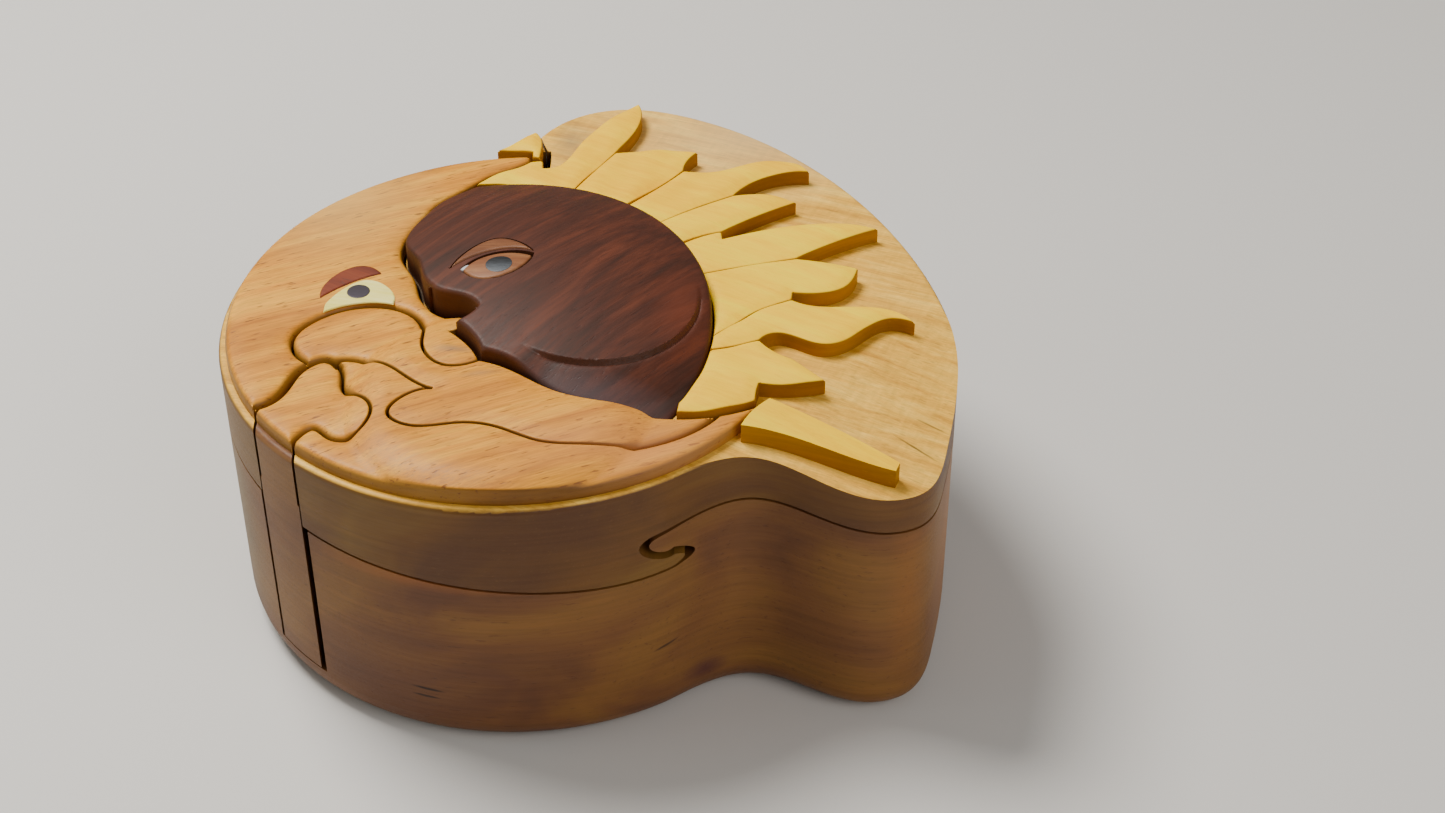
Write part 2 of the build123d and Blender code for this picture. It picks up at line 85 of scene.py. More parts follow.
def outline_at(node, height, slack=2e-6):
    """The longest closed line round a node's flat face at this height, anticlockwise.

    Vertices that lie within a few times the slack of each other count as one.
    """
    points = node_points(node)
    names = [tuple(np.round(p / slack / 5).astype(int)) for p in points]
    place = {name: p[:2] for name, p in zip(names, points)}
    level = np.abs(points[:, 2] - height) < slack
    edges = set()
    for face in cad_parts[node].data.polygons:
        if not all(level[v] for v in face.vertices):
            continue
        corners = [names[v] for v in face.vertices]
        for a, b in zip(corners, corners[1:] + corners[:1]):
            if (b, a) in edges:
                edges.remove((b, a))
            elif a != b:
                edges.add((a, b))
    following = dict(edges)
    loops = []
    while following:
        start, point = following.popitem()
        loop = [start]
        while point != start and point in following:
            loop.append(point)
            point = following.pop(point)
        loops.append(np.array([place[name] for name in loop]))
    longest = max(loops, key=lambda loop: np.linalg.norm(np.diff(loop, axis=0), axis=1).sum())
    x, y = longest.T
    anticlockwise = np.sum(x * np.roll(y, -1) - y * np.roll(x, -1)) > 0
    return longest if anticlockwise else longest[::-1]


def refined(loop, spacing):
    """The same closed line, with neighbouring points neither far apart nor very close."""
    closest = 0.2 * spacing
    fine = []
    for a, b in zip(loop, np.roll(loop, -1, axis=0)):
        parts = max(1, math.ceil(np.linalg.norm(b - a) / spacing))
        fine.extend(a + (b - a) * i / parts for i in range(parts))
    kept = [fine[0]]
    for point in fine[1:]:
        if np.linalg.norm(point - kept[-1]) > closest:
            kept.append(point)
    return np.array(kept)


def distance_to(points, line):
    """How far each point is from the closed line."""
    along = np.roll(line, -1, axis=0) - line
    squares = np.maximum((along ** 2).sum(1), 1e-18)
    best = np.full(len(points), np.inf)
    for start, way, square in zip(line, along, squares):
        offset = points - start
        t = np.clip(offset @ way / square, 0, 1)
        best = np.minimum(best, ((offset - t[:, None] * way) ** 2).sum(1))
    return np.sqrt(best)


def inside(points, loop):
    """Whether each point is inside the closed line."""
    odd = np.zeros(len(points), bool)
    x, y = points.T
    for (ax, ay), (bx, by) in zip(loop, np.roll(loop, -1, axis=0)):
        crosses = (ay > y) != (by > y)
        if by != ay:
            odd ^= crosses & (x < (bx - ax) * (y - ay) / (by - ay) + ax)
    return odd


# Meshes

def mesh_object(name, vertices, faces, material):
    """A new object, shaded smooth but for edges sharper than 38 degrees."""
    mesh = bpy.data.meshes.new(name)
    mesh.from_pydata([tuple(v) for v in vertices], [], faces)
    mesh.materials.append(material)
    for polygon in mesh.polygons:
        polygon.use_smooth = True
    mesh.set_sharp_from_angle(angle=math.radians(38))
    mesh.validate()
    piece = bpy.data.objects.new(name, mesh)
    bpy.context.scene.collection.objects.link(piece)
    return piece


def smoothstep(t):
    t = np.clip(t, 0, 1)
    return t * t * (3 - 2 * t)


def quarter_round(depth, radius):
    """How far the top drops at this depth inside an edge with this radius."""
    t = np.clip(depth / radius, 0, 1)
    return radius * (1 - np.sqrt(1 - (1 - t) ** 2))


def sideways(loop):
    """At each point of an anticlockwise line, the level way into the area."""
    ahead = np.roll(loop, -1, axis=0) - np.roll(loop, 1, axis=0)
    ahead /= np.maximum(np.linalg.norm(ahead, axis=1), 1e-9)[:, None]
    return np.stack([-ahead[:, 1], ahead[:, 0]], axis=1)


def filled(points, line):
    """Triangles that join the points, all inside the closed line that the first points make."""
    count = len(line)
    flat, _, triangles, origin, *_ = geometry.delaunay_2d_cdt(
        [Vector(p) for p in points], [(i, (i + 1) % count) for i in range(count)],
        [list(range(count))], 1, 1e-7)
    return np.array([tuple(p) for p in flat]), [tuple(t) for t in triangles], origin


def rim_of(triangles):
    """The vertices round the triangles' outer edge, in order."""
    used = set()
    for a, b, c in triangles:
        for pair in ((a, b), (b, c), (c, a)):
            if (pair[1], pair[0]) in used:
                used.remove((pair[1], pair[0]))
            else:
                used.add(pair)
    following = dict(used)
    rim = [min(following)]
    while following[rim[-1]] != rim[0]:
        rim.append(following[rim[-1]])
    return rim


def slab(name, loop, low, surface, material, edge=0.5 * MM, spacing=0.7 * MM, grid=1.1 * MM,
         details=(), more=None):
    """A solid on this outline: its top follows surface(points) and rounds over at the edge.

    low is the height of its flat foot. edge is a radius, or a function that gives one for each
    point. Each detail is a closed line along which the surface has a step, and more are points
    where it needs to be fine.
    """
    line = refined(loop, spacing)
    inward = sideways(line)
    at_line = edge(line) if callable(edge) else np.full(len(line), edge)
    clouds = [line]
    for share in RING_SHARES:
        ring = line + inward * at_line[:, None] * share
        within = inside(ring, line)
        far_enough = distance_to(ring[within], line) > RING_SLACK * share * at_line[within]
        clouds.append(ring[within][far_enough])
    for detail in details:
        fine = refined(detail, STEP_SPACING)
        for offset in STEP_ROWS:
            clouds.append(fine + sideways(fine) * offset)
    low_corner, high_corner = line.min(0), line.max(0)
    xs = np.arange(low_corner[0], high_corner[0], grid)
    ys = np.arange(low_corner[1], high_corner[1], grid * ROW_HEIGHT)
    rows = [np.stack([xs + (i % 2) * grid / 2, np.full(len(xs), y)], 1) for i, y in enumerate(ys)]
    lattice = np.concatenate(rows)
    lattice = lattice[inside(lattice, line)]
    margin = RING_SHARES[-1] * at_line.mean() + 0.4 * grid
    lattice = lattice[distance_to(lattice, line) > margin]
    for detail in details:
        lattice = lattice[distance_to(lattice, detail) > STEP_CLEAR]
    clouds.append(lattice)
    if more is not None:
        clouds.append(more[inside(more, line)])
    flat, triangles, _ = filled(np.concatenate(clouds), line)
    radius = edge(flat) if callable(edge) else edge
    height = surface(flat) - quarter_round(distance_to(flat, line), radius)
    vertices = [(x, y, z) for (x, y), z in zip(flat, height)]
    faces = list(triangles)
    levels = [rim_of(triangles)]
    for share in WALL_SHARES:
        start = len(vertices)
        for v in levels[0]:
            x, y, z = vertices[v]
            vertices.append((x, y, z * (1 - share) + low * share))
        levels.append(list(range(start, start + len(levels[0]))))
    for upper, lower in zip(levels, levels[1:]):
        for i in range(len(upper)):
            j = (i + 1) % len(upper)
            faces.append((upper[j], upper[i], lower[i], lower[j]))
    foot = levels[-1]
    _, base_faces, origin = filled([vertices[v][:2] for v in foot], foot)
    for face in base_faces:
        faces.append(tuple(foot[origin[v][0]] for v in reversed(face)))
    return mesh_object(name, vertices, faces, material)


def on_node(name, node, surface, material, body, slot, **shape):
    """A slab that stands for a CAD node, on the node's own outline."""
    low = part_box(node)[0].z
    piece = slab(name, outline_at(node, low), low, surface, material, **shape)
    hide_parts(node)
    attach(piece, body)
    return piece


# Materials

class Tree:
    """A short way of writing a material's nodes. Places are in millimetres."""

    def __init__(self, name, color, **shader):
        self.material = bpy.data.materials.new(name)
        self.material.use_nodes = True
        self.material.diffuse_color = (*color, 1)
        self.nodes = self.material.node_tree.nodes
        self.links = self.material.node_tree.links
        self.shader = self.nodes["Principled BSDF"]
        for socket, value in shader.items():
            self.shader.inputs[socket.replace("_", " ")].default_value = value

    def add(self, kind, settings=None, **inputs):
        """A node; its inputs are given by name, or as i0, i1 by number."""
        node = self.nodes.new("ShaderNode" + kind)
        for key, value in (settings or {}).items():
            setattr(node, key, value)
        for key, value in inputs.items():
            key = int(key[1:]) if key[1:].isdigit() else key.replace("_", " ")
            self.put(node.inputs[key], value)
        return node

    def put(self, socket, value):
        if hasattr(value, "is_output"):
            self.links.new(value, socket)
        elif isinstance(value, tuple) and socket.type == "RGBA":
            socket.default_value = (*value, 1)
        else:
            socket.default_value = value

    def here(self):
        return self.add("TexCoord").outputs["Object"]

    def place(self, turn=0.0, stretch=(1, 1, 1)):
        """Where the surface is, turned about Z and stretched."""
        turned = self.add("Mapping", Vector=self.here(), Rotation=(0, 0, math.radians(turn)),
                          Scale=(1 / MM, 1 / MM, 1 / MM)).outputs[0]
        return self.add("Mapping", Vector=turned, Scale=stretch).outputs[0]

    def noise(self, where, scale=1.0, detail=3.0, rough=0.55, warp=0.0):
        return self.add("TexNoise", Vector=where, Scale=scale, Detail=detail, Roughness=rough,
                        Distortion=warp).outputs["Fac"]

    def math(self, operation, a, b=0.0):
        return self.add("Math", {"operation": operation}, i0=a, i1=b).outputs[0]

    def spread(self, value, low, high, to_low=0.0, to_high=1.0):
        return self.add("MapRange", Value=value, From_Min=low, From_Max=high, To_Min=to_low,
                        To_Max=to_high).outputs[0]

    def ramp(self, value, *stops):
        ramp = self.add("ValToRGB", Fac=value)
        elements = ramp.color_ramp.elements
        while len(elements) < len(stops):
            elements.new(0.5)
        for element, (position, color) in zip(elements, stops):
            element.position = position
            element.color = (*color, 1)
        return ramp.outputs["Color"]

    def mix(self, share, a, b):
        node = self.add("Mix", {"data_type": "RGBA"})
        for number, value in ((0, share), (6, a), (7, b)):
            self.put(node.inputs[number], value)
        return node.outputs[2]

    def scaled(self, color, share):
        return self.add("VectorMath", {"operation": "SCALE"}, i0=color, Scale=share).outputs[0]

    def on_top(self, lowest):
        """1 where the surface faces up and is higher than this, 0 on walls and in the cuts."""
        normal = self.add("TexCoord").outputs["Normal"]
        facing = self.spread(self.add("SeparateXYZ", Vector=normal).outputs[2], 0.55, 0.85)
        height = self.add("SeparateXYZ", Vector=self.here()).outputs[2]
        return self.math("MULTIPLY", facing, self.spread(height, lowest, lowest + 1 * MM))

    def spot(self, centre, size, turn=(0, 0, 0), soft=1.0):
        """1 inside an ellipsoid of this size, falling to 0 over the soft share of it."""
        moved = self.add("VectorMath", {"operation": "SUBTRACT"}, i0=self.place(), i1=centre)
        turned = self.add("Mapping", Vector=moved.outputs[0],
                          Rotation=tuple(math.radians(-a) for a in turn))
        shape = self.add("VectorMath", {"operation": "DIVIDE"}, i0=turned.outputs[0], i1=size)
        away = self.add("VectorMath", {"operation": "LENGTH"}, i0=shape.outputs[0]).outputs["Value"]
        return self.spread(away, 1 - soft, 1.0, 1.0, 0.0)

    def finish(self, color, rough, bump=None, strength=0.3, distance=0.2 * MM):
        self.put(self.shader.inputs["Base Color"], color)
        self.put(self.shader.inputs["Roughness"], rough)
        if bump is not None:
            node = self.add("Bump", Strength=strength, Distance=distance, Height=bump)
            self.put(self.shader.inputs["Normal"], node.outputs[0])
        return self.material


def wood(name, dark, mid, light, turn, pore, pores=0.5, figure=0.1, swirl=1.2, fibre=0.16,
         gloss=0.5, coat=0.05, shine=0.28, curl=0.0, side=None, stains_and_painted_light=()):
    """Oiled wood: broad figure, fine fibres and short dark pores along the grain.

    turn is the grain's direction in degrees, figure the scale of the broad figure and swirl how
    much it winds. pores, fibre and curl say how strong the pores, the fibres and the ripple across
    the grain are. gloss is the roughness, and coat and shine weigh the reflections. side gives
    three colours for the walls and for the up-facing floors deep in the cuts, which take the end
    grain and the dirt, and painted shade where they are darker than the lit tops. The last
    argument lists spots: each is a colour, its share, and the place, size and more of a spot.
    Some are real stains, nicks and cracks; others are painted shade, a painted highlight,
    painted light and a painted reflection.
    """
    tree = Tree(name, mid, Coat_Weight=coat, Coat_Roughness=0.3, Specular_IOR_Level=shine)
    # Up-facing faces below this height take the side colours: painted shade deep in the cuts.
    cut_shade_level = LID_TOP - 6 * MM
    broad = tree.noise(tree.place(turn, (0.16, 1, 1)), figure, 4, 0.6, swirl)
    streaks = tree.noise(tree.place(turn, (0.045, 1, 1)), 0.55, 5, 0.62, 0.35)
    fibres = tree.noise(tree.place(turn, (0.05, 1, 1)), 3.2, 3, 0.7)
    dashes = tree.noise(tree.place(turn, (0.16, 1, 1)), 1.9, 2, 0.5, 0.1)
    broad_share = 0.62
    value = tree.math("ADD", tree.math("MULTIPLY", broad, broad_share),
                      tree.math("MULTIPLY", streaks, 1 - broad_share))
    shade = tree.spread(fibres, *NOISE, 1 - fibre, 1 + fibre)
    ripple = None
    if curl:
        ripple = tree.noise(tree.place(turn, (1, 0.22, 1)), 0.75, 3, 0.6, 0.6)
        shade = tree.math("MULTIPLY", shade, tree.spread(ripple, *NOISE, 1 - curl, 1 + curl))
    color = tree.scaled(tree.ramp(value, (0.36, dark), (0.5, mid), (0.64, light)), shade)
    # The walls and the up-facing floors deep in the cuts take the side colours: end grain and dirt,
    # and painted shade that keeps them darker than the lit tops.
    if side:
        patches = tree.noise(tree.place(0, (1, 1, 1.8)), 0.028, 3, 0.5, 0.8)
        lines = tree.noise(tree.place(0, (0.05, 0.05, 1.4)), 0.9, 5, 0.65)
        wall = tree.ramp(patches, (0.34, side[0]), (0.5, side[1]), (0.66, side[2]))
        wall = tree.scaled(wall, tree.spread(lines, *NOISE, 0.86, 1.12))
        color = tree.mix(tree.on_top(cut_shade_level), wall, color)
    pits = tree.math("MULTIPLY", tree.spread(dashes, 0.63, 0.72), pores)
    color = tree.mix(pits, color, pore)
    # Lay the spots over the wood: real stains and marks, and painted shade, highlight, light and
    # reflection.
    for mark_color, share, *where in stains_and_painted_light:
        color = tree.mix(tree.math("MULTIPLY", tree.spot(*where), share), color, mark_color)
    rough = tree.spread(fibres, *NOISE, gloss - 0.06, gloss + 0.1)
    height = tree.math("SUBTRACT", tree.math("MULTIPLY", fibres, 0.35), pits)
    if ripple:
        height = tree.math("ADD", height, tree.math("MULTIPLY", ripple, curl * 4))
    return tree.finish(color, rough, height, 0.35, 0.12 * MM)


def felt(name, color):
    """Short felt, darker between its fibres."""
    tree = Tree(name, color, Sheen_Weight=0.6, Sheen_Roughness=0.4)
    pile = tree.noise(tree.place(), 4.0, 4, 0.7)
    dark, light = (tuple(channel * share for channel in color) for share in (0.6, 1.3))
    shade = tree.ramp(pile, (NOISE[0], dark), (NOISE[1], light))
    return tree.finish(shade, 0.95, pile, 0.8, 0.3 * MM)


def shaded_pupil(name, node, dark, light):
    """A polished pupil, dark at its upper end and catching light at its lower end."""
    tree = Tree(name, dark, Coat_Weight=0.12, Coat_Roughness=0.25)
    low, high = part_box(node)
    up_the_face = tree.add("SeparateXYZ", Vector=tree.here()).outputs[1]
    grain = tree.noise(tree.place(10, (0.2, 1, 1)), 2.0, 3, 0.6)
    share = tree.math("ADD", tree.spread(up_the_face, low.y, high.y),
                      tree.spread(grain, *NOISE, -0.15, 0.15))
    return tree.finish(tree.ramp(share, (0.1, light), (0.75, dark)), 0.4, grain, 0.2, 0.1 * MM)


wall_colors = ((0.125, 0.047, 0.018), (0.175, 0.070, 0.019), (0.215, 0.095, 0.020))
purple, orange, grey = (0.07, 0.018, 0.02), (0.42, 0.13, 0.018), (0.17, 0.15, 0.11)
tan, moss, black = (0.44, 0.21, 0.085), (0.17, 0.15, 0.06), (0.012, 0.006, 0.004)

grey_on_cheek = (grey, 0.6, (-22.5, -25.4, 58.5), (4.6, 1.5, 6), (0, 0, -6))
grey_on_mouth = (grey, 0.35, (-17, -32.5, 58.5), (5, 1.2, 6), (0, 0, 12))
pink_chin = ((0.60, 0.25, 0.09), 0.55, (12, -50, 58), (28, 12, 10))
pale_forehead = ((0.66, 0.44, 0.15), 0.5, (-50, 26, 57), (22, 26, 10))
moon_wood = wood("moon_wood", (0.45, 0.155, 0.008), (0.63, 0.25, 0.014), (0.76, 0.36, 0.028),
                 turn=-24, pore=(0.16, 0.05, 0.01), pores=0.8, figure=0.09, fibre=0.22,
                 side=((0.20, 0.08, 0.01), (0.27, 0.115, 0.012), (0.34, 0.16, 0.02)),
                 stains_and_painted_light=(grey_on_cheek, grey_on_mouth, pink_chin, pale_forehead))

pale_far_corner = ((0.70, 0.53, 0.28), 0.5, (30, 52, 54), (40, 26, 20))
grey_behind_horn = (grey, 0.5, (-6, 50, 54), (5, 9, 5))
# Black in the gap between the sun's disk and the moon: painted shadow.
painted_shadow_in_gap_by_sun = (black, 0.95, (-31.5, 1.5, 54), (4.2, 10, 6), (0, 0, 0), 0.3)
# Two black lines along the lid's hooked cut: painted shadow in the cut's gap.
painted_hook_gap_shade_long = (black, 0.85, (57.5, -43.5, 54), (0.35, 6, 6), (0, 0, 52), 0.5)
painted_hook_gap_shade_short = (black, 0.6, (60.2, -37.5, 54), (0.3, 4, 6), (0, 0, 60), 0.5)
plate_wood = wood("plate_wood", (0.56, 0.265, 0.026), (0.76, 0.41, 0.048), (0.88, 0.55, 0.095),
                  turn=22, pore=(0.16, 0.07, 0.02), pores=0.3, figure=0.14, swirl=2.2, curl=0.09,
                  side=((0.10, 0.039, 0.012), (0.145, 0.061, 0.012), (0.18, 0.088, 0.015)),
                  stains_and_painted_light=(pale_far_corner, grey_behind_horn, painted_shadow_in_gap_by_sun, painted_hook_gap_shade_long,
                          painted_hook_gap_shade_short))

knot = (purple, 0.9, (21, -50, 7), (4.5, 12, 3))
# An orange line down the front right corner: a painted highlight.
painted_highlight_on_corner = (orange, 0.16, (56, -54, 30), (4, 8, 24))
orange_under_cut = (orange, 0.5, (-20, -60, 37.5), (34, 14, 2.6))
tan_right = (tan, 0.75, (66, -25, 24), (9, 34, 34))
# A greenish cast on the left wall: painted cool light from the left.
painted_window_light_left = (moss, 0.6, (-64, -20, 26), (10, 34, 34))
upper_nick = (black, 0.85, (-27, -61, 11.8), (3.4, 8, 0.36), (0, 3, 0), 0.5)
lower_nick = (black, 0.8, (-27.5, -61, 10.0), (2.9, 8, 0.32), (0, 2, 0), 0.5)
middle_nick = (black, 0.7, (14.5, -56, 17.0), (2.6, 8, 0.34), (0, -14, 0), 0.5)
crack_right = (black, 0.85, (65.5, -27, 33), (6, 0.5, 11), (-14, 0, 0), 0.4)
wall_wood = wood("wall_wood", *wall_colors, turn=0, pore=(0.06, 0.02, 0.01), pores=0.35,
                 side=wall_colors,
                 stains_and_painted_light=(knot, painted_highlight_on_corner, orange_under_cut, tan_right, painted_window_light_left, upper_nick,
                         lower_nick, middle_nick, crack_right))

# The rays' side colours, darker and more saturated than their tops, are painted shade on the side
# walls.
ray_wood = wood("ray_wood", (0.92, 0.48, 0.001), (1.0, 0.60, 0.001), (1.0, 0.70, 0.004), turn=30,
                pore=(0.6, 0.28, 0.01), pores=0.16, figure=0.07, fibre=0.05, gloss=0.45,
                coat=0.0, shine=0.1,
                side=((0.27, 0.11, 0.002), (0.35, 0.15, 0.003), (0.42, 0.19, 0.004)))

grey_sheen = ((0.085, 0.06, 0.065), 0.7, (2, -37, 58), (20, 6, 8), (0, 0, -8))
red_rim = ((0.15, 0.032, 0.012), 0.6, (17, -16, 59), (7, 14, 8))
sun_wood = wood("sun_wood", (0.030, 0.010, 0.005), (0.056, 0.014, 0.006), (0.100, 0.024, 0.009),
                turn=-48, pore=(0.02, 0.008, 0.006), pores=0.35, figure=0.05, swirl=4.5,
                fibre=0.1, gloss=0.5, coat=0.0,
                side=((0.035, 0.010, 0.003), (0.060, 0.016, 0.004), (0.085, 0.024, 0.005)),
                stains_and_painted_light=(grey_sheen, red_rim))

brow_wood = wood("brow_wood", (0.11, 0.018, 0.006), (0.18, 0.032, 0.009), (0.25, 0.055, 0.016),
                 turn=30, pore=(0.05, 0.012, 0.005), pores=0.5)
eyelid_wood = wood("eyelid_wood", (0.10, 0.032, 0.010), (0.15, 0.050, 0.016),
                   (0.22, 0.085, 0.028), turn=12, pore=(0.07, 0.02, 0.01), pores=0.4)
eye_wood = wood("eye_wood", (0.15, 0.048, 0.015), (0.21, 0.075, 0.026), (0.28, 0.12, 0.045),
                turn=8, pore=(0.12, 0.03, 0.01), pores=0.4)
white_wood = wood("white_wood", (0.72, 0.60, 0.08), (0.84, 0.74, 0.16), (0.92, 0.86, 0.36),
                  turn=10, pore=(0.5, 0.4, 0.1), pores=0.15, fibre=0.04)
moon_pupil_wood = shaded_pupil("moon_pupil_wood", "moon_pupil", (0.026, 0.018, 0.026),
                               (0.04, 0.03, 0.045))
sun_pupil_wood = shaded_pupil("sun_pupil_wood", "sun_pupil", (0.006, 0.007, 0.009),
                              (0.06, 0.072, 0.088))
pearl = wood("speck", (0.35, 0.37, 0.38), (0.5, 0.52, 0.54), (0.6, 0.62, 0.64), turn=30,
             pore=(0.1, 0.1, 0.1), pores=0.4)
lining = felt("lining", (0.12, 0.015, 0.02))

node_materials = {
    "base_block": wall_wood, "bottom_board": wall_wood, "key_block": wall_wood,
    "forehead_block": plate_wood, "lid_block": plate_wood, "cheek_block": plate_wood,
    "felt_lining": lining, "ray_front": ray_wood,
}
for node_name, material in node_materials.items():
    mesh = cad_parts[node_name].data
    mesh.materials.clear()
    mesh.materials.append(material)


# The front ray keeps its CAD mesh, and a modifier sands its sharp edges
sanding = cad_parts["ray_front"].modifiers.new("sanded edges", "BEVEL")
sanding.width = 0.7 * MM
sanding.segments = 4
sanding.limit_method = "ANGLE"
sanding.angle_limit = math.radians(40)


# The moon

def circle_through(points):
    """The centre and radius of the circle that fits these points best."""
    matrix = np.c_[2 * points, np.ones(len(points))]
    solution, *_ = np.linalg.lstsq(matrix, (points ** 2).sum(1), rcond=None)
    centre = solution[:2]
    return centre, math.sqrt(solution[2] + centre @ centre)


# The lowest third of the chin's outline lies on the moon's round rim
chin_line = outline_at("moon_chin", LID_TOP)
on_rim = chin_line[:, 1] < np.percentile(chin_line[:, 1], 35)
moon_centre, moon_radius = circle_through(chin_line[on_rim])


def moon_rim_depth(points):
    """How far each point is inside the moon's round rim."""
    return moon_radius - np.linalg.norm(points - moon_centre, axis=1)


def moon_surface(points):
    """The moon's crown: nearly flat in the middle, falling away broadly to the outer rim."""
    rim_fall, rim_width, roundness = 2.1 * MM, 8.5 * MM, 2.1
    fall = rim_fall * (1 - np.clip(moon_rim_depth(points) / rim_width, 0, 1)) ** roundness
    wave_height = 0.13 * MM
    wave = wave_height * np.sin(points[:, 0] / (9 * MM)) * np.cos(points[:, 1] / (11 * MM))
    return MOON_TOP - 0.15 * MM - fall + wave


def moon_edge(points):
    """The edge's radius: seams are barely broken, and the outer rim is rounded."""
    at_seams, more_at_rim, rim_width = 0.35 * MM, 0.85 * MM, 2.5 * MM
    return at_seams + more_at_rim * smoothstep(1 - moon_rim_depth(points) / rim_width)


def pillowed(surface, loop, rise, reach):
    """The surface, puffed up a little away from the piece's own outline."""
    line = refined(loop, 2 * MM)

    def puffed(points):
        return surface(points) - rise * (1 - smoothstep(distance_to(points, line) / reach))
    return puffed


moon_bodies = {"moon_forehead": "forehead", "moon_cheek": "cheek", "moon_mouth": "key",
               "moon_chin": "lid"}
for node_name, body in moon_bodies.items():
    crown = pillowed(moon_surface, outline_at(node_name, LID_TOP), rise=0.3 * MM, reach=3.5 * MM)
    on_node("carved_" + node_name, node_name, crown, moon_wood, body, "moon_wood", edge=moon_edge)


# The moon's brow and eye

def raised(surface, height):
    return lambda points: surface(points) + height


# Node, material, slot, height above the moon and edge radius in millimetres
inlays = (("moon_brow", brow_wood, "brow_wood", 0.28, 0.4),
          ("moon_eye_white", white_wood, "eye_white", 0.2, 0.3),
          ("moon_pupil", moon_pupil_wood, "pupil", 0.28, 0.12))
for node_name, material, slot, height, edge in inlays:
    on_node("inlaid_" + node_name, node_name, raised(moon_surface, height * MM), material,
            "forehead", slot, edge=edge * MM, spacing=0.3 * MM, grid=0.5 * MM)


# The sun's disk

eyelid_line = outline_at("sun_eyelid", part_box("sun_eyelid")[0].z)
eyeball_line = outline_at("sun_eye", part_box("sun_eye")[0].z)
dome_centre = np.array([-6.0, -6.0]) * MM
dome_radius = 118 * MM
crease_centre = np.array([1.0, -12.0]) * MM
crease_radius = 18.8 * MM


def dome_height(points):
    away = np.linalg.norm(points - dome_centre, axis=1)
    return DOME_TOP - 0.15 * MM - away ** 2 / (2 * dome_radius)


def sun_surface(points):
    """A dome, with a crease round its lower right outside which it slopes down."""
    way = points - crease_centre
    beyond = np.linalg.norm(way, axis=1) - crease_radius
    angle = np.degrees(np.arctan2(way[:, 1], way[:, 0]))
    here = smoothstep((angle + 128) / 22) * smoothstep((14 - angle) / 30)
    step_height, step_width, slope, slope_width = 0.45 * MM, 0.6 * MM, 0.26, 8 * MM
    step = step_height * smoothstep(beyond / step_width) + slope * np.clip(beyond, 0, slope_width)
    groove_depth, groove_place, groove_width = 0.3 * MM, 0.55 * MM, 0.3 * MM
    groove = groove_depth * np.exp(-((beyond - groove_place) / groove_width) ** 2)
    socket_depth = 1.1 * MM
    socket = socket_depth * (inside(points, eyelid_line) | inside(points, eyeball_line))
    return dome_height(points) - here * (step + groove) - socket


# Rows of points along the crease, from just inside it to just outside
turns = np.radians(np.arange(-130, 20, 1.6))
round_crease = np.stack([np.cos(turns), np.sin(turns)], axis=1)
crease_points = np.concatenate([crease_centre + round_crease * (crease_radius + beyond * MM)
                                for beyond in (-0.3, 0.0, 0.2, 0.4, 0.6, 0.9)])
on_node("carved_sun", "sun_disk", sun_surface, sun_wood, "lid", "sun_wood", edge=0.8 * MM,
        spacing=0.8 * MM, grid=0.8 * MM, details=(eyelid_line, eyeball_line), more=crease_points)


def shrunk(loop, distance):
    """The closed line, moved into its area."""
    fine = refined(loop, 0.4 * MM)
    moved = fine + sideways(fine) * distance
    return moved[distance_to(moved, fine) > RING_SLACK * distance]


def eyeball_surface(points):
    """A ball that rolls under the upper lid."""
    low, high = eyeball_line.min(0), eyeball_line.max(0)
    share = (points - (low + high) / 2) / ((high - low) / 2)
    return dome_height(points) + 0.25 * MM - 0.45 * MM * (share ** 2).sum(1)


def on_sun(name, node, loop, surface, material, slot, **shape):
    """A piece of the sun's eye; node is the CAD node that it replaces, if any."""
    piece = slab(name, loop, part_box("sun_eye")[0].z, surface, material, spacing=0.3 * MM,
                 grid=0.4 * MM, **shape)
    if node:
        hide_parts(node)
    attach(piece, "lid")


pupil_line = outline_at("sun_pupil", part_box("sun_pupil")[0].z)
corner_line = np.array([(-23.4, -5.7), (-22.7, -6.2), (-21.3, -6.1), (-20.8, -5.0),
                        (-21.6, -4.5)]) * MM
on_sun("carved_eyelid", "sun_eyelid", shrunk(eyelid_line, 0.1 * MM), raised(dome_height, 0.2 * MM),
       eyelid_wood, "sun_wood", edge=0.6 * MM)
on_sun("carved_eyeball", "sun_eye", shrunk(eyeball_line, 0.35 * MM), eyeball_surface, eye_wood,
       "eye_wood", edge=0.4 * MM)
on_sun("carved_pupil", "sun_pupil", pupil_line, raised(eyeball_surface, 0.06 * MM),
       sun_pupil_wood, "pupil", edge=0.05 * MM)
on_sun("eye_corner", None, corner_line, raised(dome_height, -0.15 * MM), pearl, "eye_white",
       edge=0.3 * MM)


# The rays

def ray_surface(node, number):
    """A ray's top: sanded round along its edges, faintly fluted, and tipped to one side."""
    middle = outline_at(node, LID_TOP).mean(0)
    steepness, most_tilt, turn_by_ray = 0.010, 0.12 * MM, 2.4
    flute_height, flute_width = 0.11 * MM, 1.2 * MM
    turn = turn_by_ray * number
    lean = steepness * np.array([math.cos(turn), math.sin(turn)])

    def surface(points):
        tilt = np.clip((points - middle) @ lean, -most_tilt, most_tilt)
        across = (points - middle) @ np.array([-middle[1], middle[0]]) / np.linalg.norm(middle)
        return RAY_TOP - 0.25 * MM + tilt + flute_height * np.cos(across / flute_width)
    return pillowed(surface, outline_at(node, LID_TOP), rise=0.45 * MM, reach=2.2 * MM)


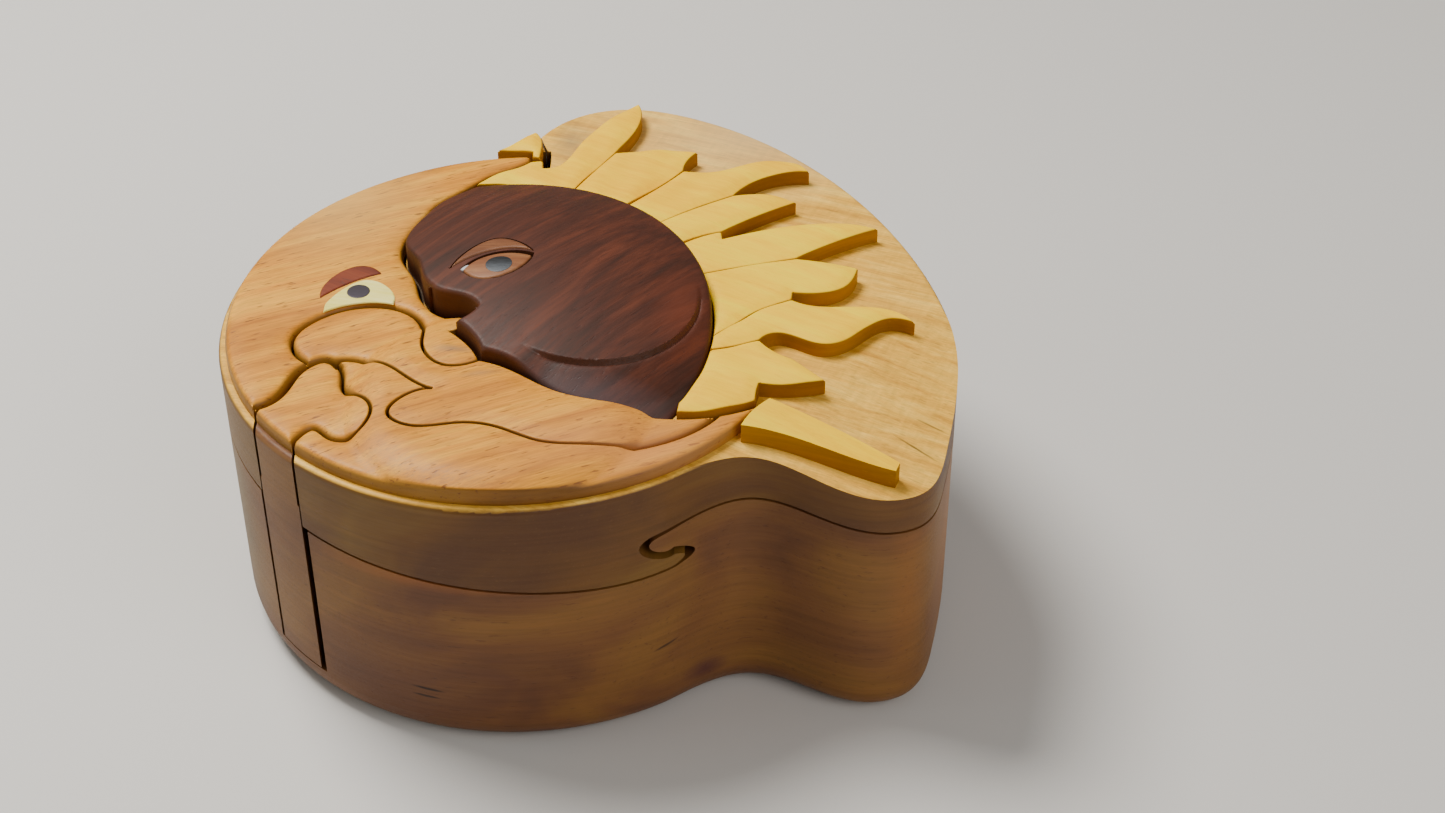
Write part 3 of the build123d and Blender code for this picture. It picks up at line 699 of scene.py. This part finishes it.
for number in range(1, 9):
    node_name = "ray_" + str(number)
    on_node("carved_" + node_name, node_name, ray_surface(node_name, number), ray_wood, "lid",
            "ray_wood", edge=0.4 * MM, spacing=0.5 * MM, grid=0.9 * MM)
on_node("carved_ray_back", "ray_back", ray_surface("ray_back", 9), ray_wood, "forehead", "ray_wood",
        edge=0.5 * MM, spacing=0.4 * MM, grid=0.7 * MM)


# Floor, light and camera

def area_light(name, place, target, size, power, color):
    data = bpy.data.lights.new(name, "AREA")
    data.shape = "DISK"
    data.size = size
    data.energy = power
    data.color = color
    lamp = bpy.data.objects.new(name, data)
    lamp.location = place
    lamp.rotation_euler = (Vector(target) - Vector(place)).to_track_quat("-Z", "Y").to_euler()
    bpy.context.scene.collection.objects.link(lamp)


floor_mesh = bpy.data.meshes.new("floor")
floor_reach = 3.0
floor_corners = [(x * floor_reach, y * floor_reach, 0)
                 for x, y in ((-1, -1), (1, -1), (1, 1), (-1, 1))]
floor_mesh.from_pydata(floor_corners, [], [(0, 1, 2, 3)])
floor = bpy.data.objects.new("floor", floor_mesh)
floor.location.z = -0.2 * MM
bpy.context.scene.collection.objects.link(floor)
floor_color = (0.66, 0.645, 0.62)
floor_look = Tree("floor", floor_color, Base_Color=(*floor_color, 1), Roughness=0.6)
floor_mesh.materials.append(floor_look.material)

world = bpy.data.worlds.new("studio")
world.use_nodes = True
background = world.node_tree.nodes["Background"]
background.inputs["Color"].default_value = (1.0, 0.97, 0.93, 1)
background.inputs["Strength"].default_value = 0.22
bpy.context.scene.world = world

middle_of_box = (0, 0, 0.03)
area_light("key", (-0.30, 0.22, 0.68), middle_of_box, size=0.35, power=8.2,
           color=(1.0, 0.96, 0.90))
area_light("fill", (0.45, -0.5, 0.5), middle_of_box, size=0.6, power=2.6,
           color=(1.0, 0.97, 0.94))
area_light("left", (-0.7, -0.05, 0.25), middle_of_box, size=0.4, power=0.8,
           color=(0.86, 0.97, 0.92))

camera_data = bpy.data.cameras.new("camera")
camera_data.sensor_width = 36.0
camera_data.lens = 59.8
camera_data.clip_start = 0.01
camera = bpy.data.objects.new("camera", camera_data)
camera.location = (0.0242, -0.3605, 0.3078)
camera_tilt = math.radians(52)
camera.rotation_euler = (camera_tilt, 0, 0)
bpy.context.scene.collection.objects.link(camera)
bpy.context.scene.camera = camera
